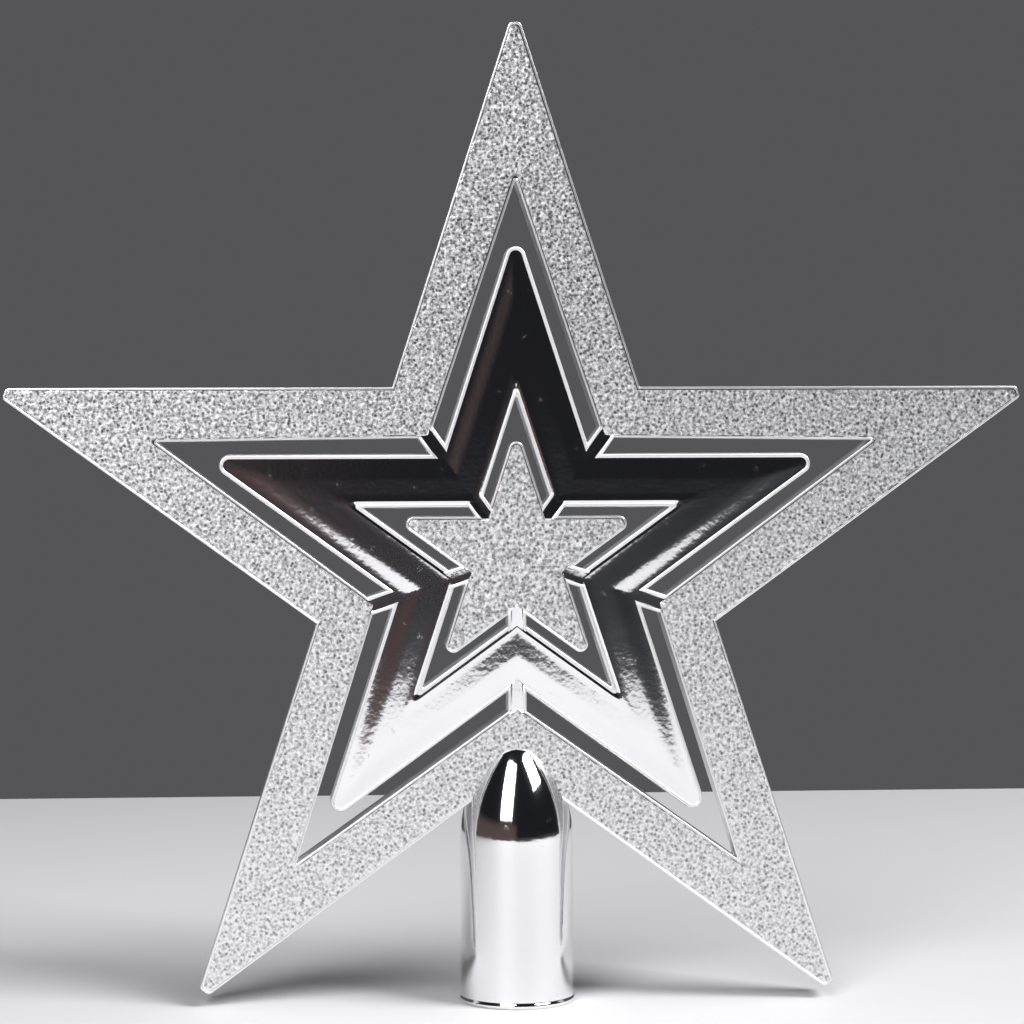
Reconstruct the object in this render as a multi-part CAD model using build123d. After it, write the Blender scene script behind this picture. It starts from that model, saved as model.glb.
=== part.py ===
from build123d import *
import os
from math import atan2, cos, degrees, radians, sin, tan

# A silver tree-topper star: three similar stars, one inside the other, each closed from a front and
# a back half-shell, on a domed tube that slips over the top shoot of a tree.
# Millimetres, +Z up, front towards -Y. The origin is the centre of the tube's open foot.
# A star's size is its apothem: the distance from its centre to the straight lines of its edges,
# measured beside the join of the two halves.

# Star outlines, from the inside out
point_count = 5
inner_apothem = 8.15
inner_gap = 1.5
middle_limb_width = 10.75
outer_gap = 3.0
outer_limb_width = 10.1
outer_tip_round = 1.5
middle_tip_round = 2.2
inner_tip_round = 1.6

# Moulded sections
wall = 1.2
draft_angle = 3.5
edge_break = 0.2
join_groove_depth = 0.25
join_groove_width = 0.6
cavity_tip_round = 1.0
least_tip_share = 0.25

# Faces of the half-shells: a raised rim along every edge, and the field between the rims
shell_depth = 4.2
rim_width = 0.25
field_recess = 0.15
inner_lift = 0.35

# Mirror-bright middle star: its field climbs in an easy curve to a flat beside the inner rim, and a
# groove sets it off from both rims
crown_groove = 0.3
crown_step = 0.1
crown_rise = 0.22
crown_climb_share = 0.52
collar_lift = 0.2

# Tabs between the stars, and the flat tongues that run on into the grained shells
tab_width = 3.7
tab_proud = 0.06
tongue_width = 2.4
tongue_thickness = 1.2
tongue_reach = 2.0

# Locating pins of the halves
pin_radius = 0.8
pin_length = 1.8
boss_radius = 1.7
outer_boss_inset = 10.3
middle_boss_inset = 6.3
middle_boss_stride = 3
inner_boss_gap = 0.9

# Socket tube
bore_radius = 10.0
tube_wall = 1.2
straight_height = 31.4
dome_height = 20.2
dome_nose_round = 6.5
dome_overlap = 5.3
foot_bead_height = 1.1
foot_bead_proud = 0.25
foot_bead_slope = 0.3
web_thickness = 2.4
web_half_span = 18.0
web_tongue_gap = 0.8

# Fits
fit_gap = 0.1
overrun = 1.0

# Angles of a star, and sizes that follow from those above
notch_angle = 180 / point_count
tip_angle = 2 * notch_angle
arm_turn = 360 / point_count
to_notch = 1 / cos(radians(notch_angle))
to_tip = 1 / cos(radians(tip_angle))
middle_window_apothem = inner_apothem + inner_gap
middle_apothem = middle_window_apothem + middle_limb_width
outer_window_apothem = middle_apothem + outer_gap
outer_apothem = outer_window_apothem + outer_limb_width
star_reach = 2 * outer_apothem * to_tip
tube_radius = bore_radius + tube_wall
tube_top = straight_height + dome_height
centre_height = tube_top - dome_overlap + outer_apothem * to_notch
field_height = shell_depth - field_recess
roof_height = field_height - wall
outer_tongue_end = (outer_window_apothem + wall) * to_notch + tongue_reach
inner_tongue_end = (inner_apothem - wall) * to_notch - tongue_reach
outer_boss_reach = outer_window_apothem * to_tip + outer_boss_inset
middle_boss_reach = middle_window_apothem * to_tip + middle_boss_inset
inner_boss_offset = inner_tongue_end - inner_boss_gap - boss_radius


def lean(height):
    return height * tan(radians(draft_angle))


def drawn_in(tip_round, inset):
    # a tip's round on an outline that runs inside the first one by the inset
    return max(tip_round - inset, tip_round * least_tip_share)


def star_face(apothem, tip_round):
    corners = []
    for step in range(2 * point_count):
        angle = radians(90 + step * notch_angle)
        reach = apothem * (to_notch if step % 2 else to_tip)
        corners.append((reach * cos(angle), reach * sin(angle)))
    outline = Polygon(*corners)
    if tip_round:
        tips = outline.vertices().sort_by_distance((0, 0, 0))[-point_count:]
        outline = fillet(tips, tip_round)
    return outline


def star_stack(sections):
    faces = []
    for height, apothem, tip_round in sections:
        faces.append(Pos(0, 0, height) * star_face(apothem, tip_round))
    return loft(faces, ruled=True)


def edge_levels(lift=0):
    # heights of an edge's bends, with how far the edge has drawn back from its widest line there
    shoulder = shell_depth + lift - edge_break
    return [
        (0, join_groove_depth),
        (join_groove_width / 2, 0),
        (shoulder, lean(shoulder)),
        (shell_depth + lift, lean(shoulder) + edge_break),
    ]


def field_inset(lift=0):
    return edge_levels(lift)[-1][1] + rim_width


def star_block(apothem, tip_round, growth=0, lift=0):
    sections = []
    for height, inset in edge_levels(lift):
        sections.append((height, apothem - inset + growth, drawn_in(tip_round, inset)))
    return star_stack(sections)


def window_block(apothem, growth=0, lift=0):
    levels = edge_levels(lift)
    first_height, first_inset = levels[0]
    last_height, last_inset = levels[-1]
    levels = [(first_height - overrun, first_inset)] + levels + [(last_height + overrun, last_inset)]
    return star_stack([(height, apothem + inset + growth, 0) for height, inset in levels])


def field_cut(field, lift=0):
    return Pos(0, 0, field_height + lift) * extrude(field, field_recess + overrun)


def cavity_block(apothem, lift=0):
    start = apothem - wall
    roof = roof_height + lift
    end = start - lean(roof)
    return star_stack([(-overrun, start, cavity_tip_round), (roof, end, cavity_tip_round)])


def cavity_core(apothem):
    start = apothem + wall
    end = start + lean(roof_height)
    sections = [(-overrun * 2, start, 0), (0, start, 0), (roof_height, end, 0)]
    sections.append((roof_height + overrun, end, 0))
    return star_stack(sections)


def arm_spots(reach, stride=1):
    # spots on the axes of the arms, from the first past the upright one
    spots = []
    for arm in range(1, point_count, stride):
        angle = radians(90 + arm * arm_turn)
        spots.append((reach * cos(angle), reach * sin(angle)))
    return spots


def with_pins(shell, spots):
    # bosses under the roof: pins on the left half, sockets on the right, so that one moulding
    # turned round closes on another
    bottom = (Align.CENTER, Align.CENTER, Align.MIN)
    for x, y in spots:
        shell += Pos(x, y, 0) * Cylinder(boss_radius, roof_height + wall / 2, align=bottom)
    for x, y in spots:
        if x < 0:
            shell += Pos(x, y, -pin_length) * Cylinder(pin_radius, pin_length + wall, align=bottom)
        else:
            depth = pin_length + fit_gap + overrun
            shell -= Pos(x, y, -overrun) * Cylinder(pin_radius + fit_gap, depth, align=bottom)
    return shell


def radial_bar(start, end, width, bottom, top):
    return Pos(start, 0, bottom) * Box(
        end - start, width, top - bottom, align=(Align.MIN, Align.CENTER, Align.MIN)
    )


def at_notches(bar):
    return [Rot(0, 0, 90 + notch_angle + arm * arm_turn) * bar for arm in range(point_count)]


def tube_body(growth, foot):
    # the tube's outer form as a solid from the foot up, grown or shrunk evenly all round: the dome is
    # a round nose that runs tangent into the bulging sides
    radius = tube_radius + growth
    nose = dome_nose_round + growth
    nose_height = dome_height - dome_nose_round
    bulge = (radius**2 + nose_height**2 - nose**2) / (2 * (radius - nose))
    turn = degrees(atan2(nose_height, bulge - radius))
    sides = CenterArc((radius - bulge, straight_height), bulge, 0, turn)
    tip = CenterArc((0, straight_height + nose_height), nose, turn, 90 - turn)
    rest = Polyline((0, tube_top + growth), (0, foot), (radius, foot), (radius, straight_height))
    return revolve(Plane.XZ * make_face([sides, tip, rest]), Axis.Z)


def in_star_frame(shape):
    return Pos(0, 0, centre_height) * (Plane.XZ * shape)


def outer_star():
    shell = star_block(outer_apothem, outer_tip_round)
    shell -= window_block(outer_window_apothem)
    outline = star_face(outer_apothem - field_inset(), drawn_in(outer_tip_round, field_inset()))
    shell -= field_cut(outline - star_face(outer_window_apothem + field_inset(), 0))
    shell -= cavity_block(outer_apothem) - cavity_core(outer_window_apothem)
    shell = with_pins(shell, arm_spots(outer_boss_reach))
    notch = radial_bar(
        outer_window_apothem * to_notch - overrun,
        outer_tongue_end + fit_gap,
        tongue_width + 2 * fit_gap,
        -overrun,
        tongue_thickness + fit_gap,
    )
    for cut in at_notches(notch):
        shell -= cut
    return in_star_frame(shell) - tube_body(fit_gap, 0)


def inner_star():
    inset = field_inset(inner_lift)
    shell = star_block(inner_apothem, inner_tip_round, lift=inner_lift)
    shell -= field_cut(star_face(inner_apothem - inset, drawn_in(inner_tip_round, inset)), inner_lift)
    shell -= cavity_block(inner_apothem, inner_lift)
    shell = with_pins(shell, [(-inner_boss_offset, 0), (inner_boss_offset, 0)])
    notch = radial_bar(
        inner_tongue_end - fit_gap,
        inner_apothem * to_notch + overrun,
        tongue_width + 2 * fit_gap,
        -overrun,
        tongue_thickness + fit_gap,
    )
    for cut in at_notches(notch):
        shell -= cut
    return in_star_frame(shell)


def star_of_limbs(profile):
    # a profile of height over distance from the centre, run along one limb, mitred on the lines
    # through the notch and the tip, mirrored to make an arm and repeated for every arm
    normal = radians(90 - tip_angle)
    across = (cos(normal), sin(normal), 0)
    along = (sin(normal), -cos(normal), 0)
    bar = extrude(Plane((0, 0, 0), across, along) * profile, star_reach, both=True)
    notch = radians(90 - notch_angle)
    corner = (star_reach * cos(notch), star_reach * sin(notch))
    wedge = extrude(Polygon((0, 0), corner, (0, star_reach)), star_reach, both=True)
    limb = bar & wedge
    arm = limb + mirror(limb, Plane.YZ)
    star = arm
    for step in range(1, point_count):
        star += Rot(0, 0, step * arm_turn) * arm
    return star


def crown_profile(inner_edge, outer_edge, bottom, shoulder):
    # two equal arcs, one hollow and one full, carry the face up to its flat
    top = shoulder + crown_rise
    climb = (outer_edge - inner_edge) * crown_climb_share
    start = (outer_edge, shoulder)
    halfway = (outer_edge - climb / 2, (shoulder + top) / 2)
    end = (outer_edge - climb, top)
    hollow = TangentArc(start, halfway, tangent=(-1, 0))
    full = TangentArc(halfway, end, tangent=hollow % 1)
    sides = Polyline(end, (inner_edge, top), (inner_edge, bottom), (outer_edge, bottom), start)
    return make_face([hollow, full, sides])


def middle_crown():
    # the profile runs out to the rim, and an outline with rounded tips leaves the groove beside it
    outer_edge = middle_apothem - field_inset()
    inner_edge = middle_window_apothem + field_inset(collar_lift) + crown_groove
    foot = field_height - wall / 2
    crown = star_of_limbs(crown_profile(inner_edge, outer_edge, foot, field_height + crown_step))
    inset = field_inset() + crown_groove
    return crown & extrude(star_face(middle_apothem - inset, drawn_in(middle_tip_round, inset)), star_reach)


def middle_star():
    collar = star_face(middle_window_apothem + field_inset(collar_lift), 0)
    outline = star_face(middle_apothem - field_inset(), drawn_in(middle_tip_round, field_inset()))
    shell = star_block(middle_apothem, middle_tip_round)
    shell -= field_cut(outline)
    shell += extrude(collar, shell_depth + collar_lift)
    shell -= window_block(middle_window_apothem, lift=collar_lift)
    shell += middle_crown()
    outer_root = (middle_apothem - 2 * wall) * to_notch
    inner_root = (middle_window_apothem + 2 * wall) * to_notch
    tab_top = field_height + tab_proud
    outer_bar = radial_bar(outer_root, outer_tongue_end, tab_width, 0, tab_top)
    inner_bar = radial_bar(inner_tongue_end, inner_root, tab_width, 0, tab_top + collar_lift)
    outer_stop = window_block(outer_window_apothem, -fit_gap)
    inner_stop = star_block(inner_apothem, inner_tip_round, fit_gap, inner_lift)
    for outer_tab, inner_tab in zip(at_notches(outer_bar), at_notches(inner_bar)):
        shell += outer_tab & outer_stop
        shell += inner_tab - inner_stop
    outer_tongue = radial_bar(outer_root, outer_tongue_end, tongue_width, 0, tongue_thickness)
    inner_tongue = radial_bar(inner_tongue_end, inner_root, tongue_width, 0, tongue_thickness)
    for tongue in at_notches(outer_tongue) + at_notches(inner_tongue):
        shell += tongue
    shell -= cavity_block(middle_apothem) - cavity_core(middle_window_apothem)
    return in_star_frame(with_pins(shell, arm_spots(middle_boss_reach, middle_boss_stride)))


def socket_web():
    outer_edge = outer_apothem - wall - lean(web_thickness / 2) - fit_gap
    inner_edge = (outer_tongue_end + web_tongue_gap) / to_notch
    ring = star_face(outer_edge, 0) - star_face(inner_edge, 0)
    strip = Rectangle(2 * web_half_span, star_reach, align=(Align.CENTER, Align.MAX))
    return in_star_frame(extrude(ring & strip, web_thickness / 2, both=True))


def foot_bead():
    crest = tube_radius + foot_bead_proud
    section = Polygon(
        (bore_radius, 0),
        (tube_radius, 0),
        (crest, foot_bead_slope),
        (crest, foot_bead_height - foot_bead_slope),
        (tube_radius, foot_bead_height),
        (bore_radius, foot_bead_height),
    )
    return revolve(Plane.XZ * section, Axis.Z)


def socket_tube():
    return tube_body(0, 0) + foot_bead() + socket_web() - tube_body(-tube_wall, -overrun)


def turned_round(shell):
    return Rot(0, 0, 180) * shell


outer = outer_star()
middle = middle_star()
inner = inner_star()
pieces = {
    "outer_star_front": outer,
    "outer_star_back": turned_round(outer),
    "middle_star_front": middle,
    "middle_star_back": turned_round(middle),
    "inner_star_front": inner,
    "inner_star_back": turned_round(inner),
    "socket_tube": socket_tube(),
}

os.makedirs("parts", exist_ok=True)
for node, piece in pieces.items():
    export_step(piece, f"parts/{node}.step")
    print(node, len(piece.solids()), round(piece.volume), piece.bounding_box().size)
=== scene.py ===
import bmesh
import bpy
from math import atan2, cos, pi, radians, sin, tan
from mathutils import Matrix, Vector, noise


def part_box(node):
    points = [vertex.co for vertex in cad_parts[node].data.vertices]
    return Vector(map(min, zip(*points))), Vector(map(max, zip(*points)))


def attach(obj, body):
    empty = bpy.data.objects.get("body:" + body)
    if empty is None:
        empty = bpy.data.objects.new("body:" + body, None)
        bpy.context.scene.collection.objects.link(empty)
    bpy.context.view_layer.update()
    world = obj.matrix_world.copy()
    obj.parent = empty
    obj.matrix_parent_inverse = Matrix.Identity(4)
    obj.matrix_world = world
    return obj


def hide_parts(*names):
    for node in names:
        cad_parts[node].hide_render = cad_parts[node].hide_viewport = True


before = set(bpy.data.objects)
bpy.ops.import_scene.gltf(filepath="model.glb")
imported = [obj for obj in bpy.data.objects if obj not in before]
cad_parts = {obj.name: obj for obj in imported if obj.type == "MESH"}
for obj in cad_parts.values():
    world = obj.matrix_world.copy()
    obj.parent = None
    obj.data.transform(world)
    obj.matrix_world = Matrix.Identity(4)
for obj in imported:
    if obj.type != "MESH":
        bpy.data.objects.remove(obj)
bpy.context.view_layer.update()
print("frame loaded:", len(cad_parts), "nodes")

# Pieces are shaped in millimetres in a star frame (x right, y up, z towards the viewer, centre of the
# star at zero) and set into the model by one matrix, which also turns them into metres.
mm = 0.001
armCount = 5
notchAngle = pi / armCount
tipAngle = 2 * notchAngle
armTurn = 2 * pi / armCount
toNotch = 1 / cos(notchAngle)     # from an edge line's apothem to the radius of its notches
toTip = 1 / cos(tipAngle)         # and of its tips
sharpEdge = radians(38)           # edges that turn by more than this are shaded sharp
closeness = {
    "line": 1e-3,            # a point this near an edge line lies on it
    "cut": 1e-4,             # the rest are the distances within which points are merged
    "mirror": 1e-3,
    "arms": 2e-3,
    "spun": 1e-4,
    "sliver": 1e-5,
}

# Edges of the grained half-shells
shellEdge = {
    "draft": radians(1.5),
    "joinDepth": 0.25,       # groove where the halves meet
    "joinHeight": 0.3,
    "rimRound": 0.15,
    "rimCrest": 0.16,        # flat on top of the rim
    "rimFall": 0.1,          # run of the slope from the rim down to the field
    "rimDrop": 0.12,
    "rimFoot": 0.02,         # flat strip between the rim and the field
    "wallShares": (0.5, 0.95),    # rows up the wall
    "roundSteps": 4,
    "fallSteps": 3,
}


def edgeProfile(depth, e):
    # inset and height of an edge's bends, from the join of the halves to the edge of the field
    shoulder = depth - e["rimRound"]
    lean = tan(e["draft"]) * shoulder
    bends = [(e["joinDepth"], 0), (0, e["joinHeight"])]
    for share in e["wallShares"]:
        bends.append((lean * share, e["joinHeight"] + (shoulder - e["joinHeight"]) * share))
    for step in range(e["roundSteps"] + 1):
        angle = (pi - e["draft"]) + (e["draft"] - pi / 2) * step / e["roundSteps"]
        bends.append((lean + e["rimRound"] * (1 + cos(angle)), shoulder + e["rimRound"] * sin(angle)))
    crest = bends[-1][0] + e["rimCrest"]
    for step in range(e["fallSteps"] + 1):
        share = step / e["fallSteps"]
        bends.append((crest + e["rimFall"] * share, depth - e["rimDrop"] * (1 - cos(pi * share)) / 2))
    bends.append((bends[-1][0] + e["rimFoot"], bends[-1][1]))
    return bends


def limbRows(bm, section, apothem, start, spans):
    # a closed section, given by inset and height, run along one edge line; each span has an end and a row
    loop = [bm.verts.new((start, apothem - inset, height)) for inset, height in section]
    last = loop + [bm.edges.new((loop[i - 1], loop[i])) for i in range(len(loop))]
    place = start
    for end, row in spans:
        steps = max(1, round((end - place) / row))
        run = bmesh.ops.spin(bm, geom=last, axis=(0, 0, 1), dvec=(row, 0, 0), angle=0, steps=steps)
        last = [item for item in run["geom_last"] if not isinstance(item, bmesh.types.BMFace)]
        place += steps * row


# Pebbled fields
grain = {
    "row": 2.1,              # rows along a limb before the field is divided
    "fineRow": 0.45,         # rows near the corners, where the edges turn round
    "fineLength": 12.0,
    "notchLength": 3.0,
    "cornerBefore": 2.0,     # fine rows before and after the window's corner
    "cornerAfter": 6.0,
    "cuts": 6,
    "height": 0.06,
    "pebble": 1.0,           # spacing of the pebbles
    "layers": ((1.2, 1.1), (0.9, 2.1)),    # share of the height and scale of the pebbles and of a ripple
    "fade": 0.3,             # the pebbles die away over this distance from the rim
    "seed": (3.7, 11.3, 5.1),
}


def divideField(bm, apothem, first, final, level):
    # the field between the rims is divided finely enough to carry the pebbles
    wanted = set()
    for face in bm.faces:
        middle = face.calc_center_median()
        if first < apothem - middle.y < final and middle.z > level:
            wanted.update(edge for edge in face.edges if edge.calc_length() > 2 * grain["fineRow"])
    edges = [edge for edge in bm.edges if edge in wanted]    # in the mesh's own order in every run
    bmesh.ops.subdivide_edges(bm, edges=edges, cuts=grain["cuts"], use_grid_fill=True)


def whole(bm):
    return bm.verts[:] + bm.edges[:] + bm.faces[:]


def mitred(bm):
    # the run is cut on the lines through the notch and the tip, mirrored into an arm and repeated
    for angle, side in ((notchAngle, -1), (tipAngle, 1)):
        bmesh.ops.bisect_plane(
            bm, geom=whole(bm), dist=closeness["cut"], plane_co=(0, 0, 0),
            plane_no=(side * cos(angle), -side * sin(angle), 0), use_snap_center=True, clear_outer=True,
        )
    bmesh.ops.rotate(bm, verts=bm.verts, cent=(0, 0, 0), matrix=Matrix.Rotation(tipAngle, 3, "Z"))
    bmesh.ops.mirror(bm, geom=whole(bm), axis="X", merge_dist=closeness["mirror"])
    arm = whole(bm)
    for step in range(1, armCount):
        copy = bmesh.ops.duplicate(bm, geom=arm)["geom"]
        verts = [item for item in copy if isinstance(item, bmesh.types.BMVert)]
        turn = Matrix.Rotation(armTurn * step, 3, "Z")
        bmesh.ops.rotate(bm, verts=verts, cent=(0, 0, 0), matrix=turn)
    bmesh.ops.remove_doubles(bm, verts=bm.verts, dist=closeness["arms"])
    bmesh.ops.recalc_face_normals(bm, faces=bm.faces)


def armFrame(vert, offset=0):
    # turn that brings the nearest arm upright, with the point's place across and along that arm
    x, y = vert.co.x, vert.co.y
    turn = round((atan2(-x, y) - offset) / armTurn) * armTurn + offset
    return turn, x * cos(turn) + y * sin(turn), y * cos(turn) - x * sin(turn)


def edgeLine(vert):
    # apothem of the line through a point that runs along the edge of its limb
    turn, across, along = armFrame(vert)
    return abs(across) * sin(tipAngle) + along * cos(tipAngle)


def fromNotch(vert):
    # distance of a point from the nearest line through a notch
    return abs(armFrame(vert, notchAngle)[1])


def moveInArm(vert, turn, across, along):
    vert.co.x = across * cos(turn) - along * sin(turn)
    vert.co.y = across * sin(turn) + along * cos(turn)


def fieldRoom(vert, apothem, window, first, last):
    # how far a point lies inside a field whose edges are inset from the edge lines
    line = edgeLine(vert)
    room = apothem - line - first
    return min(room, line - window - last) if window else room


def openRims(bm, edge, side, width, level):
    # the rims along an edge line stop at the tabs, so that a tab's flat runs into the field
    worn = bm.verts.layers.float["rim"]
    for vert in bm.verts:
        inset = side * (edge - edgeLine(vert))
        offset = fromNotch(vert) - tabs["channel"]
        onTop = vert.co.z > level - tabs["reach"]
        if onTop and inset < width and offset < tabs["fade"]:
            kept = max(0, offset / tabs["fade"])
            vert.co.z = level + (vert.co.z - level) * kept
            vert[worn] *= kept


def roundTips(bm, apothem, window, style):
    # each line that runs round a tip turns on an arc, smaller the further in the line lies, down to the
    # sharp corner of a window
    for vert in bm.verts:
        turn, across, along = armFrame(vert)
        side = 1 if across >= 0 else -1
        line = edgeLine(vert)
        arc = max(style["tipRound"] - apothem + line, style["tipRound"] * style["leastTipShare"])
        arc = min(arc, line - window)
        if arc <= 0:
            continue
        reach = arc * tan(tipAngle)
        beyond = along * sin(tipAngle) - abs(across) * cos(tipAngle)
        beyond -= line * tan(tipAngle) - reach
        if beyond <= 0 or line < style["tipRound"]:
            continue
        angle = tipAngle * (1 - min(beyond / reach, 1))
        across = side * arc * sin(angle)
        along = (line - arc) * toTip + arc * cos(angle)
        moveInArm(vert, turn, across, along)


def taperWindow(bm, apothem, window, taper):
    # the limbs grow a little wider towards the tips
    for vert in bm.verts:
        turn, across, along = armFrame(vert)
        inside = min(1, max(0, (apothem - edgeLine(vert)) / (apothem - window)))
        out = max(0, (along - window) / (window * toTip - window))
        moveInArm(vert, turn, across, along - taper * inside * out)


def pebbleHeight(place):
    # rounded pebbles of uneven size with a finer ripple over them
    spot = Vector((place.x, place.y, 0)) / grain["pebble"] + Vector(grain["seed"])
    return grain["height"] * sum(share * noise.noise(spot * scale) for share, scale in grain["layers"])


def markEdges(bm, apothem, window, first, last):
    # a mask of the rims and walls, for the finish
    mask = bm.verts.layers.float.new("rim")
    for vert in bm.verts:
        vert[mask] = 1 if fieldRoom(vert, apothem, window, first, last) < -closeness["line"] else 0


def grainField(bm, apothem, window, first, level):
    # pebbles on the field, and a mask that tells the finish where they are
    mask = bm.verts.layers.float.new("grain")
    for vert in bm.verts:
        room = fieldRoom(vert, apothem, window, first, first)
        if vert.co.z > level and room > -closeness["line"]:
            share = min(1, max(0, room / grain["fade"]))
            vert[mask] = share
            vert.co.z += share * pebbleHeight(vert.co)


def smoothFaces(bm):
    # smooth shading, except over the sharp edges
    for face in bm.faces:
        face.smooth = True
    for edge in bm.edges:
        if len(edge.link_faces) == 2 and edge.calc_face_angle(0) > sharpEdge:
            edge.smooth = False


def madeObject(bm, name, place):
    # the object stays at the origin, with its place in its mesh
    mesh = bpy.data.meshes.new(name)
    bmesh.ops.transform(bm, matrix=place, verts=bm.verts)
    bm.to_mesh(mesh)
    bm.free()
    piece = bpy.data.objects.new(name, mesh)
    bpy.context.scene.collection.objects.link(piece)
    return piece


def turnedCopy(piece, name):
    # the back half is the front half turned half round the tube's axis
    mesh = piece.data.copy()
    mesh.transform(Matrix.Rotation(pi, 4, "Z"))
    copy = bpy.data.objects.new(name, mesh)
    bpy.context.scene.collection.objects.link(copy)
    return copy


def seat(piece, node, material):
    # a piece gets its finish, rides on the one body and stands for its solid
    piece.data.materials.clear()
    piece.data.materials.append(material)
    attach(piece, "root")
    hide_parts(node)


# Shader maths: a wire is an output socket that can be added, multiplied and so on
class Wire:
    def __init__(self, finish, socket):
        self.finish = finish
        self.socket = socket

    def maths(self, operation, first, second):
        return self.finish.node("ShaderNodeMath", {"operation": operation}, {0: first, 1: second})

    def __add__(self, other):
        return self.maths("ADD", self, other)

    def __sub__(self, other):
        return self.maths("SUBTRACT", self, other)

    def __rsub__(self, other):
        return self.maths("SUBTRACT", other, self)

    def __mul__(self, other):
        return self.maths("MULTIPLY", self, other)

    __radd__ = __add__
    __rmul__ = __mul__


class Finish:
    def __init__(self, owner):
        owner.use_nodes = True
        self.owner = owner
        self.tree = owner.node_tree
        self.tree.nodes.clear()

    def node(self, kind, settings=None, sockets=None, output=0):
        made = self.tree.nodes.new(kind)
        for key, value in (settings or {}).items():
            setattr(made, key, value)
        for key, value in (sockets or {}).items():
            if isinstance(value, Wire):
                self.tree.links.new(value.socket, made.inputs[key])
            else:
                made.inputs[key].default_value = value
        return Wire(self, made.outputs[output]) if made.outputs else None


def blend(finish, share, first, second):
    # two colours mixed; the numbers are the colour sockets of a Mix node
    return finish.node("ShaderNodeMix", {"data_type": "RGBA"}, {0: share, 6: first, 7: second}, output=2)


def noiseAt(finish, place, settings):
    # a noise given by its scale, detail and roughness
    scale, detail, roughness = settings
    sockets = {"Vector": place, "Scale": scale, "Detail": detail, "Roughness": roughness}
    return finish.node("ShaderNodeTexNoise", {}, sockets)


def rangeOf(finish, value, limits, interpolation="LINEAR"):
    # 0 at the first limit, 1 at the second
    return finish.node(
        "ShaderNodeMapRange", {"interpolation_type": interpolation},
        {"Value": value, "From Min": limits[0], "From Max": limits[1]},
    )


def silverFinish(name, look):
    # vacuum-metallised silver: a bright skin with a faint ripple, worn rims and a pitted matt field; the
    # field carries painted shade in its pits and over its pebbles, and is painted paler towards the foot as
    # a painted reflection of the table
    finish = Finish(bpy.data.materials.new(name))
    place = finish.node("ShaderNodeTexCoord", output="Object")
    field = finish.node("ShaderNodeAttribute", {"attribute_name": "grain"}, output="Fac")
    rim = finish.node("ShaderNodeAttribute", {"attribute_name": "rim"}, output="Fac")
    cloud = noiseAt(finish, place, look["cloud"])
    speck = noiseAt(finish, place, look["speck"])
    ripple = noiseAt(finish, place, look["ripple"])
    peel = noiseAt(finish, place, look["peel"])
    patch = noiseAt(finish, place, look["patch"])
    paintedFacetNoise = noiseAt(finish, place, look["paintedFacetNoise"])
    plane = finish.node("ShaderNodeMapping", {}, {"Vector": place, "Rotation": (pi / 2, 0, 0)})
    cell = finish.node(
        "ShaderNodeTexVoronoi", {"voronoi_dimensions": "2D"},
        {"Vector": plane, "Scale": look["pitScale"]}, output="Distance",
    )
    pit = rangeOf(finish, cell + speck * look["ragged"], look["pitLimits"], "SMOOTHSTEP")
    skin = blend(finish, cloud * look["tarnish"], look["bright"], look["dull"])
    height = finish.node("ShaderNodeSeparateXYZ", {}, {"Vector": place}, output="Z")
    # painted reflection: the field is painted paler towards the foot, standing in for the pale table it
    # reflects
    pale = rangeOf(finish, height, look["paintedReflectionHeights"])
    # painted shade of the pebbles' facets: a noise darkens the field's colour in patches
    paintedFacetTone = rangeOf(finish, paintedFacetNoise + pale * look["paintedReflectionLift"], look["paintedFacetLimits"])
    depth = field * (1 - pale * look["paintedReflectionFade"])
    colour = blend(finish, depth * paintedFacetTone * look["paintedFacetShade"], skin, look["paintedShadeColour"])
    # painted shade in the pits: the field's colour darkens in each pit
    colour = blend(finish, depth * pit * patch * look["paintedPitShade"], colour, look["paintedShadeColour"])
    rough = look["haze"] + field * look["fieldHaze"] + rim * look["rimHaze"] + speck * look["speckHaze"]
    rough = rough + pit * look["dust"]
    relief = ripple * look["rippleHeight"] + peel * look["peelHeight"]
    relief = relief + field * (speck * look["speckHeight"] - pit * look["pitDepth"])
    bump = finish.node("ShaderNodeBump", {}, {"Strength": 1.0, "Distance": 1.0, "Height": relief})
    shader = finish.node(
        "ShaderNodeBsdfPrincipled", {},
        {"Base Color": colour, "Metallic": 1.0, "Roughness": rough, "Normal": bump},
    )
    finish.node("ShaderNodeOutputMaterial", {}, {"Surface": shader})
    return finish.owner


# heights are in metres, scales in features per metre
grainedLook = {
    "bright": (0.95, 0.95, 0.96, 1),
    "dull": (0.86, 0.86, 0.88, 1),
    # painted shade: the dark colour laid in the pits and over the pebbles' facets, then the pits' strength
    "paintedShadeColour": (0.07, 0.07, 0.074, 1),
    "paintedPitShade": 1.3,
    "ragged": 0.4,           # unevenness of the pits' edges
    "pitScale": 900.0,
    "pitLimits": (0.56, 0.36),
    # painted shade over the pebbles' facets
    "paintedFacetShade": 0.95,
    "paintedFacetLimits": (0.672, 0.332),
    "paintedReflectionHeights": (0.14, 0.01),  # painted reflection of the pale table: the grain is painted paler towards the foot
    "paintedReflectionLift": 0.1,
    "paintedReflectionFade": 0.35,
    "tarnish": 0.6,
    "haze": 0.03,
    "fieldHaze": 0.43,
    "rimHaze": 0.28,
    "speckHaze": 0.03,
    "dust": 0.0,             # dull specks on a smooth face
    "rippleHeight": 0.000012,
    "pitDepth": 0.00001,
    "speckHeight": 0.00005,
    "peelHeight": 0.000005,
    "cloud": (60.0, 3.0, 0.5),    # scale, detail and roughness of each noise
    "speck": (3200.0, 2.0, 0.5),
    "ripple": (300.0, 2.0, 0.5),
    "peel": (1200.0, 1.0, 0.5),
    "patch": (900.0, 0.0, 0.5),
    "paintedFacetNoise": (1500.0, 2.0, 0.65),
}
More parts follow.
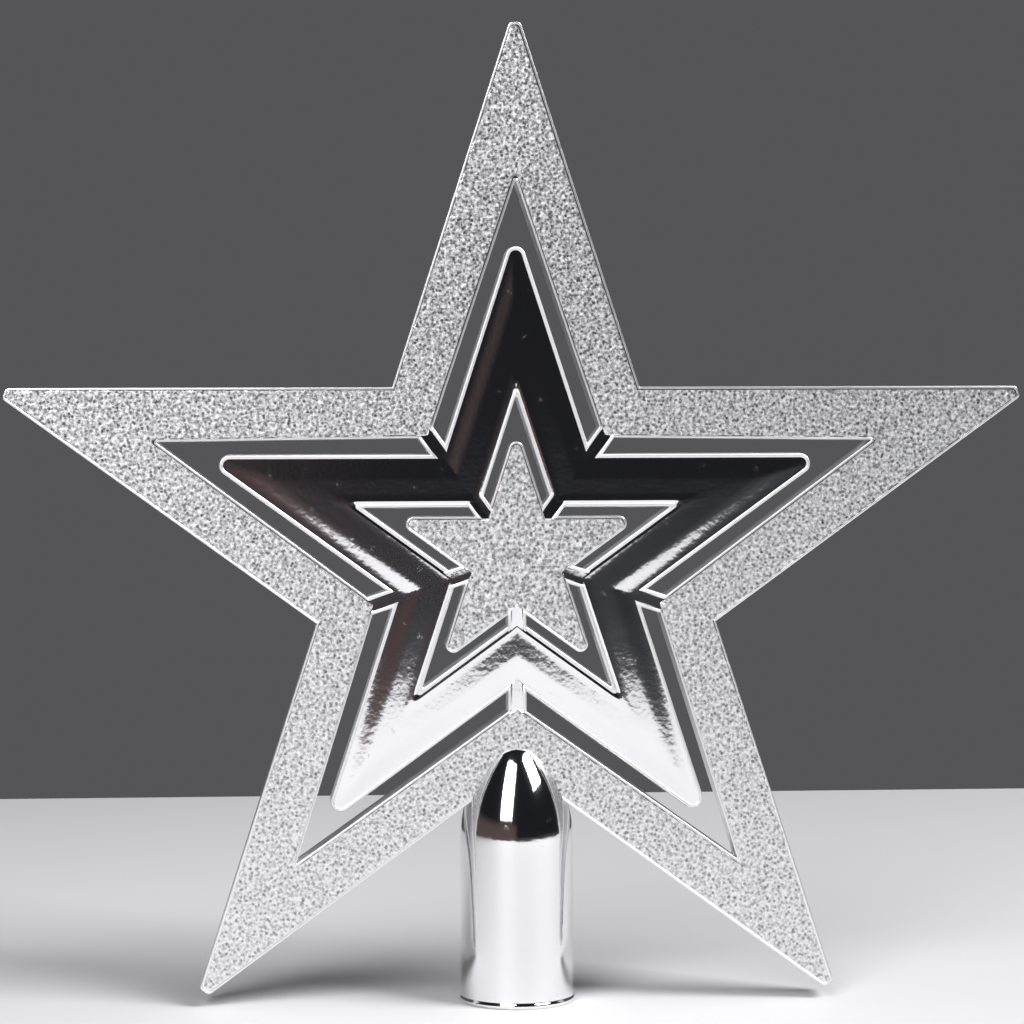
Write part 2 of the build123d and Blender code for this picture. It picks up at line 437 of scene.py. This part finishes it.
mirrorLook = dict(
    grainedLook, bright=(0.88, 0.88, 0.89, 1), dull=(0.80, 0.80, 0.82, 1), haze=0.055, rimHaze=0.38,
    pitScale=110.0, pitLimits=(0.215, 0.195), dust=0.14,
)
grainedSilver = silverFinish("grainedSilver", grainedLook)
mirrorSilver = silverFinish("mirrorSilver", mirrorLook)
print("finishes ready")

# The grained stars
outerStar = {
    "limbWidth": 10.1,
    "windowTaper": 2.1,      # the window's corners lie this much further in than parallel edges put them
    "tipRound": 1.5,
    "leastTipShare": 0.35,
    "depth": 4.2,
}
innerStar = {"tipRound": 1.6, "leastTipShare": 0.25, "depth": 4.55}


def starSize(node, tipRound):
    # apothem, in millimetres, and height of the centre, from a star's box and the round of its tips
    low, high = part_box(node)
    tipCentre = ((high.x - low.x) / (2 * mm) - tipRound) / cos(pi / 2 - tipAngle)
    return tipCentre / toTip + tipRound, high.z - (tipCentre + tipRound) * mm


outerApothem, starHeight = starSize("outer_star_front", outerStar["tipRound"])
outerWindow = outerApothem - outerStar["limbWidth"]
innerApothem = starSize("inner_star_front", innerStar["tipRound"])[0]
starPlace = Matrix.Translation((0, 0, starHeight)) @ Matrix.Rotation(pi / 2, 4, "X") @ Matrix.Scale(mm, 4)


def grainedStar(name, apothem, window, style):
    # a half-shell with a pebbled field, as a ring round a window or, where the window is 0, a whole star
    edge = edgeProfile(style["depth"], shellEdge)
    first, level = edge[-1]
    section = list(edge)
    tip = apothem * tan(tipAngle)
    if window:
        width = apothem - window
        columns = max(1, round((width - 2 * first) / grain["row"]))
        for column in range(1, columns):
            section.append((first + (width - 2 * first) * column / columns, level))
        section += [(width - inset, height) for inset, height in reversed(edge)]
        notch = window * tan(notchAngle)
        start = notch - grain["fineRow"]
        corner = window * tan(tipAngle)
        spans = [
            (notch + grain["notchLength"], grain["fineRow"]),
            (corner - grain["cornerBefore"], grain["row"]),
            (corner + grain["cornerAfter"], grain["fineRow"]),
        ]
    else:
        columns = max(1, round((apothem - first) / grain["row"]))
        for column in range(1, columns + 1):
            section.append((first + (apothem - first) * column / columns, level))
        section.append((apothem, 0))
        width = apothem + first
        notch = apothem * tan(notchAngle)
        start = -grain["row"]
        spans = [(notch - grain["row"] / 2, grain["row"]), (notch + grain["notchLength"], grain["fineRow"])]
    spans += [(tip - grain["fineLength"], grain["row"]), (tip + grain["row"], grain["fineRow"])]
    bm = bmesh.new()
    limbRows(bm, section, apothem, start, spans)
    divideField(bm, apothem, first, width - first, level - shellEdge["rimDrop"])
    mitred(bm)
    markEdges(bm, apothem, window, first, first)
    smoothFaces(bm)
    grainField(bm, apothem, window, first, level - shellEdge["rimDrop"])
    openRims(bm, window or apothem, -1 if window else 1, first, level - tabs["dip"])
    roundTips(bm, apothem, window, style)
    if window:
        taperWindow(bm, apothem, window, style["windowTaper"])
    return madeObject(bm, name, starPlace)


# The bright star and its tabs
middleStar = {
    "limbWidth": 10.75,
    "tipRound": 2.2,
    "leastTipShare": 0.25,
    "depth": 4.2,
    "edge": dict(shellEdge, draft=radians(3), rimRound=0.28, rimCrest=0.3, rimFall=0.15, rimFoot=0.04),
    "crownRise": 0.165,      # the face climbs this much from the outer rim to the inner one
    "climbStart": 0.0,       # shares of the face between which it climbs
    "climbEnd": 0.5,
    "plateauLift": 0.02,     # further climb of the flatter inner part
    "filletLift": 0.045,     # hollow that runs up beside the inner rim
    "filletShare": 0.19,
    "lineWidth": 0.3,        # fine line between the face and the inner rim
    "faceSteps": 32,
    "row": 0.5,
    "creaseReach": 0.7,      # the mitred corners are eased over this distance
    "creaseEase": 0.5,
    "creasePasses": 4,
}
tabs = {
    "halfWidth": 1.85,
    "channel": 1.08,         # half of the flat between the rims
    "fade": 0.3,             # the stars' rims die away over this distance beside the flat
    "dip": 0.15,             # and lie this much below the field under the flat
    "reach": 0.13,           # points no lower than this under that level are on the rim's top
    "under": 0.01,           # the flat starts this much under the bright star's face
    "outerDrop": 0.05,       # its other end lies this much under the outer star's field
    "innerRise": 0.03,       # or over the inner star's
    # inset and height of the bends of a tab's own rim
    "rim": ((0, -0.25), (0.05, -0.02), (0.16, 0.1), (0.32, 0.14), (0.5, 0.11), (0.64, 0.04)),
    "crease": 0.1,           # half of the soft fold along the middle of the flat
    "lapShare": 0.5,         # the tab's rims climb out of the star's rims over this share of their lap
    "sunk": 0.2,             # the tab's ends dive this deep
    "step": 0.01,
}
middleApothem = starSize("middle_star_front", middleStar["tipRound"])[0]
middleWindow = middleApothem - middleStar["limbWidth"]
print("apothems:", outerApothem, outerWindow, middleApothem, middleWindow, innerApothem)


def eased(share):
    # even climb from 0 to 1 with level ends
    return share * share * (3 - 2 * share)


def middleSection():
    # rims on both edges, and between them a face that climbs in an easy curve towards the inner rim
    m = middleStar
    outerEdge = edgeProfile(m["depth"], m["edge"])
    first, low = outerEdge[-1]
    innerEdge = edgeProfile(low + m["crownRise"] + m["plateauLift"] + m["filletLift"], m["edge"])
    last = m["limbWidth"] - innerEdge[-1][0] - m["lineWidth"]
    section = list(outerEdge)
    for step in range(1, m["faceSteps"] + 1):
        share = step / m["faceSteps"]
        climb = min(1, max(0, (share - m["climbStart"]) / (m["climbEnd"] - m["climbStart"])))
        lift = m["crownRise"] * eased(climb)
        lift += m["plateauLift"] * max(0, share - m["climbEnd"]) / (1 - m["climbEnd"])
        hollow = max(0, share - 1 + m["filletShare"]) / m["filletShare"]
        lift += m["filletLift"] * hollow * hollow
        section.append((first + (last - first) * share, low + lift))
    section += [(m["limbWidth"] - inset, height) for inset, height in reversed(innerEdge)]
    return section, first, innerEdge[-1][0] + m["lineWidth"], low


def tabBar(bm, inner, outer):
    # a bar between the notches of two stars, mitred like them, each end given by the notch's radius, the
    # lap of the bar's rims on the star's rims, and the radius and level where the bar's flat ends
    t = tabs
    innerNotch, innerLap, flatStart, startLevel = inner
    outerNotch, outerLap, flatEnd, endLevel = outer
    rimStart = innerNotch - innerLap
    rimEnd = outerNotch + outerLap
    radii = (flatStart - t["step"], flatStart, flatEnd, flatEnd + t["step"])
    radii += (rimStart, rimStart + innerLap * t["lapShare"], rimEnd - outerLap * t["lapShare"], rimEnd)
    rim = bm.verts.layers.float["rim"]
    loops = []
    for radius in sorted(radii):
        level = startLevel + (endLevel - startLevel) * (radius - flatStart) / (flatEnd - flatStart)
        flat = 0 if flatStart <= radius <= flatEnd else -t["sunk"]
        ends = min((radius - rimStart) / innerLap, (rimEnd - radius) / outerLap)
        sides = -t["sunk"] * (1 - min(1, max(0, ends / t["lapShare"])))
        half = [(t["halfWidth"] + tan(shellEdge["draft"]) * level, 0, 1)]
        half += [(t["halfWidth"] - across, level + height + sides, 1) for across, height in t["rim"]]
        columns = (t["channel"], t["channel"] - t["crease"], t["crease"])
        half += [(across, level + flat, 0) for across in columns]
        otherHalf = [(-across, height, worn) for across, height, worn in reversed(half)]
        loop = []
        for across, height, worn in half + otherHalf:
            loop.append(bm.verts.new((across, radius + abs(across) * tan(notchAngle), height)))
            loop[-1][rim] = worn
        loops.append(loop)
    for first, second in zip(loops, loops[1:]):
        for i in range(len(first)):
            bm.faces.new((first[i - 1], first[i], second[i], second[i - 1]))
    bm.faces.new(loops[0])
    bm.faces.new(loops[-1])
    return [vert for loop in loops for vert in loop]


def middleTabs(bm, low, high, first, last):
    # the outer tabs run from the face's foot to the outer star, the inner ones from the inner star to the
    # top of the hollow beside the inner rim
    t = tabs
    grainLap = edgeProfile(outerStar["depth"], shellEdge)[-1][0] * toNotch
    outerField = outerStar["depth"] - shellEdge["rimDrop"]
    innerField = innerStar["depth"] - shellEdge["rimDrop"]
    middleNotch, outerNotch = middleApothem * toNotch, outerWindow * toNotch
    innerNotch, windowNotch = innerApothem * toNotch, middleWindow * toNotch
    foot = (middleNotch, first * toNotch, middleNotch - first * toNotch, low - t["under"])
    rim = (outerNotch, grainLap, outerNotch + grainLap, outerField - t["outerDrop"])
    start = (innerNotch, grainLap, innerNotch - grainLap, innerField + t["innerRise"])
    top = windowNotch + last * toNotch
    hollow = (windowNotch, last * toNotch, top, high - t["under"])
    for inner, outer in ((foot, rim), (start, hollow)):
        for arm in range(armCount):
            verts = tabBar(bm, inner, outer)
            turn = Matrix.Rotation(notchAngle + arm * armTurn, 3, "Z")
            bmesh.ops.rotate(bm, verts=verts, cent=(0, 0, 0), matrix=turn)


def easeCreases(bm, first, last, low):
    # the mitred corners of the face are softened a little
    m = middleStar
    near = []
    for vert in bm.verts:
        inset = middleApothem - edgeLine(vert)
        onFace = first < inset < m["limbWidth"] - last - tabs["step"]
        fold = min(abs(armFrame(vert)[1]), fromNotch(vert))
        if onFace and vert.co.z > low - closeness["line"] and fold < m["creaseReach"]:
            near.append(vert)
    for step in range(m["creasePasses"]):
        bmesh.ops.smooth_vert(bm, verts=near, factor=m["creaseEase"], use_axis_z=True)


def middleStarHalf(name):
    m = middleStar
    section, first, last, low = middleSection()
    high = low + m["crownRise"] + m["plateauLift"] + m["filletLift"]
    bm = bmesh.new()
    start = middleWindow * tan(notchAngle) - m["row"]
    limbRows(bm, section, middleApothem, start, [(middleApothem * tan(tipAngle) + m["row"], m["row"])])
    mitred(bm)
    markEdges(bm, middleApothem, middleWindow, first, last - m["lineWidth"])
    easeCreases(bm, first, last, low)
    openRims(bm, middleApothem, 1, first, low - tabs["dip"])
    openRims(bm, middleWindow, -1, last - tabs["step"], high - 2 * tabs["under"])
    roundTips(bm, middleApothem, middleWindow, m)
    middleTabs(bm, low, high, first, last)
    bmesh.ops.recalc_face_normals(bm, faces=bm.faces)
    smoothFaces(bm)
    return madeObject(bm, name, starPlace)


tube = {
    "radius": 11.2,
    "wall": 1.2,
    "straight": 31.4,
    "domeHeight": 20.2,
    "noseRound": 6.5,
    "beadProud": 0.25,       # bead round the foot
    "beadHeight": 1.1,
    "beadSteps": 8,
    "lipRound": 0.35,
    "lipShare": 0.2,         # the bead starts this share of the lip's round above the foot
    "footInset": 0.1,
    "wallRises": (0.15, 0.6, 4, 10, 20),    # rows above the bead and below the dome
    "wallDrops": (6, 3, 1),
    "seatShare": 1 / 3,      # the outer star stops this deep in the wall
    "cutBelow": 5,           # the cut starts this far under the foot
    "turns": 160,
    "arcSteps": 14,
}


def domeArc(growth):
    # the dome's side and nose as points of radius and height, from the straight wall to the apex
    t = tube
    radius = t["radius"] + growth
    nose = t["noseRound"] + growth
    noseHeight = t["domeHeight"] - t["noseRound"]
    bulge = (radius**2 + noseHeight**2 - nose**2) / (2 * (radius - nose))
    turn = atan2(noseHeight, bulge - radius)
    arc = []
    for step in range(t["arcSteps"] + 1):
        angle = turn * step / t["arcSteps"]
        arc.append((radius - bulge + bulge * cos(angle), t["straight"] + bulge * sin(angle)))
    for step in range(1, t["arcSteps"] + 1):
        angle = turn + (pi / 2 - turn) * step / t["arcSteps"]
        arc.append((nose * cos(angle), t["straight"] + noseHeight + nose * sin(angle)))
    return arc


def spunSolid(section):
    # a closed section of radius and height, turned about the upright axis
    bm = bmesh.new()
    verts = [bm.verts.new((radius, 0, height)) for radius, height in section]
    edges = [bm.edges.new((verts[i - 1], verts[i])) for i in range(len(verts))]
    bmesh.ops.spin(
        bm, geom=verts + edges, axis=(0, 0, 1), cent=(0, 0, 0), angle=2 * pi, steps=tube["turns"],
        use_merge=True,
    )
    bmesh.ops.remove_doubles(bm, verts=bm.verts, dist=closeness["spun"])
    bmesh.ops.dissolve_degenerate(bm, edges=bm.edges, dist=closeness["sliver"])
    bmesh.ops.recalc_face_normals(bm, faces=bm.faces)
    return bm


def tubeBody(name):
    # the wall with its bead and dome, and the bore inside it
    t = tube
    bore = t["radius"] - t["wall"]
    outside = [(bore + t["lipRound"], 0), (t["radius"] - t["footInset"], 0)]
    for step in range(t["beadSteps"] + 1):
        share = step / t["beadSteps"]
        height = t["lipRound"] * t["lipShare"] + t["beadHeight"] * share
        outside.append((t["radius"] + t["beadProud"] * sin(pi * share), height))
    outside += [(t["radius"], height + rise) for rise in t["wallRises"]]
    outside += [(t["radius"], t["straight"] - drop) for drop in t["wallDrops"]]
    inside = [(bore, t["lipRound"]), (bore, t["straight"])] + domeArc(-t["wall"])[1:]
    section = outside + domeArc(0) + list(reversed(inside))
    bm = spunSolid(section)
    smoothFaces(bm)
    return madeObject(bm, name, Matrix.Scale(mm, 4))


def cutByTube(piece):
    # the outer star stops inside the tube's wall, so that the bore stays clear
    inner = -tube["wall"] * tube["seatShare"]
    section = [(0, -tube["cutBelow"]), (tube["radius"] + inner, -tube["cutBelow"])] + domeArc(inner)
    cutter = madeObject(spunSolid(section), "tubeCutter", Matrix.Scale(mm, 4))
    cut = piece.modifiers.new("tubeSeat", "BOOLEAN")
    cut.operation = "DIFFERENCE"
    cut.solver = "MANIFOLD"
    cut.object = cutter
    evaluated = piece.evaluated_get(bpy.context.evaluated_depsgraph_get())
    mesh = bpy.data.meshes.new_from_object(evaluated)
    piece.modifiers.clear()
    piece.data = mesh
    bpy.data.objects.remove(cutter)


outerFront = grainedStar("outerStarFront", outerApothem, outerWindow, outerStar)
print("outer star", len(outerFront.data.polygons), "faces")
cutByTube(outerFront)
print("outer star cut", len(outerFront.data.polygons), "faces")
innerFront = grainedStar("innerStarFront", innerApothem, 0, innerStar)
print("inner star", len(innerFront.data.polygons), "faces")
middleFront = middleStarHalf("middleStarFront")
print("middle star", len(middleFront.data.polygons), "faces")
socketTube = tubeBody("socketTube")
print("tube", len(socketTube.data.polygons), "faces")

seat(outerFront, "outer_star_front", grainedSilver)
seat(turnedCopy(outerFront, "outerStarBack"), "outer_star_back", grainedSilver)
seat(innerFront, "inner_star_front", grainedSilver)
seat(turnedCopy(innerFront, "innerStarBack"), "inner_star_back", grainedSilver)
seat(middleFront, "middle_star_front", mirrorSilver)
seat(turnedCopy(middleFront, "middleStarBack"), "middle_star_back", mirrorSilver)
seat(socketTube, "socket_tube", mirrorSilver)

# Stage: a pale table, two soft lights and a dim room
stage = {
    "left": -1.2,
    "right": 1.2,
    "near": -0.77,
    "far": 0.33,
    "columns": 24,
    "rows": 16,
    "pale": (0.68, 0.675, 0.69, 1),
    "shade": (0.66, 0.655, 0.67, 1),
    "cloud": (3.0, 2.0, 0.5),
    "haze": 0.7,
}
roomLight = {
    "overhead": (0.0125, 0.013, 0.0155, 1),
    "frontLeft": (0.105, 0.052, 0.047, 1),
    "frontRight": (0.040, 0.041, 0.046, 1),
    "glow": (0.095, 0.068, 0.065, 1),
    "behind": (0.09, 0.09, 0.095, 1),
    "frontSides": (-0.22, 0.05),  # limits of each change, as parts of a direction
    "glowSides": (-0.16, 0.02),
    "glowTop": (0.1, 0.25),
    "horizon": (-0.05, 0.02),
    "depths": (-0.1, 0.35),
}
lights = {
    "leftLight": {"place": (-0.34, -0.72, 0.66), "size": (0.45, 0.9), "power": 7.6},
    "rightLight": {"place": (0.71, -0.40, 1.0), "size": (0.55, 0.65), "power": 19.0},
}
lightTarget = (0, 0, 0.08)


def paleTable():
    bm = bmesh.new()
    # a unit square, stretched to the table's edges
    bmesh.ops.create_grid(bm, x_segments=stage["columns"], y_segments=stage["rows"], size=0.5)
    size = (stage["right"] - stage["left"], stage["far"] - stage["near"], 1)
    bmesh.ops.scale(bm, vec=size, verts=bm.verts)
    middle = ((stage["left"] + stage["right"]) / 2, (stage["near"] + stage["far"]) / 2, 0)
    bmesh.ops.translate(bm, vec=middle, verts=bm.verts)
    floor = madeObject(bm, "paleTable", Matrix.Identity(4))
    finish = Finish(bpy.data.materials.new("palePaper"))
    place = finish.node("ShaderNodeTexCoord", output="Object")
    colour = blend(finish, noiseAt(finish, place, stage["cloud"]), stage["pale"], stage["shade"])
    shader = finish.node("ShaderNodeBsdfPrincipled", {}, {"Base Color": colour, "Roughness": stage["haze"]})
    finish.node("ShaderNodeOutputMaterial", {}, {"Surface": shader})
    floor.data.materials.append(finish.owner)


def softLight(name, settings):
    lamp = bpy.data.lights.new(name, "AREA")
    lamp.shape = "RECTANGLE"
    lamp.size, lamp.size_y = settings["size"]
    lamp.energy = settings["power"]
    light = bpy.data.objects.new(name, lamp)
    light.location = settings["place"]
    light.rotation_mode = "QUATERNION"
    light.rotation_quaternion = (Vector(lightTarget) - light.location).to_track_quat("-Z", "Y")
    bpy.context.scene.collection.objects.link(light)


def dimRoom():
    # dark overhead, dim and a little warm in front, paler behind the model
    world = bpy.data.worlds.new("dimRoom")
    bpy.context.scene.world = world
    finish = Finish(world)
    place = finish.node("ShaderNodeTexCoord", output="Generated")

    def ramp(axis, limits):
        part = finish.node("ShaderNodeSeparateXYZ", {}, {"Vector": place}, output=axis)
        return rangeOf(finish, part, roomLight[limits], "SMOOTHSTEP")

    front = blend(finish, ramp("X", "frontSides"), roomLight["frontLeft"], roomLight["frontRight"])
    upper = blend(finish, ramp("X", "glowSides"), roomLight["glow"], roomLight["overhead"])
    upper = blend(finish, ramp("Z", "glowTop"), upper, roomLight["overhead"])
    front = blend(finish, ramp("Z", "horizon"), front, upper)
    colour = blend(finish, ramp("Y", "depths"), front, roomLight["behind"])
    back = finish.node("ShaderNodeBackground", {}, {"Color": colour, "Strength": 1.0})
    finish.node("ShaderNodeOutputWorld", {}, {"Surface": back})


paleTable()
dimRoom()
for name, settings in lights.items():
    softLight(name, settings)
print("stage lit")

view = {
    "place": (-0.0307, -0.5422, 0.1077),
    "turn": radians(-3.17),
    "tilt": radians(-1.18),
    "roll": radians(-0.21),
    "lens": 96.7,
    "sensor": 36.0,
    "clip": 0.01,
}
camera = bpy.data.objects.new("camera", bpy.data.cameras.new("camera"))
camera.data.lens = view["lens"]
camera.data.sensor_width = view["sensor"]
camera.data.clip_start = view["clip"]
camera.matrix_world = (
    Matrix.Translation(view["place"]) @ Matrix.Rotation(view["turn"], 4, "Z")
    @ Matrix.Rotation(pi / 2 + view["tilt"], 4, "X") @ Matrix.Rotation(view["roll"], 4, "Z")
)
bpy.context.scene.collection.objects.link(camera)
bpy.context.scene.camera = camera
bpy.context.scene.view_settings.view_transform = "Standard"
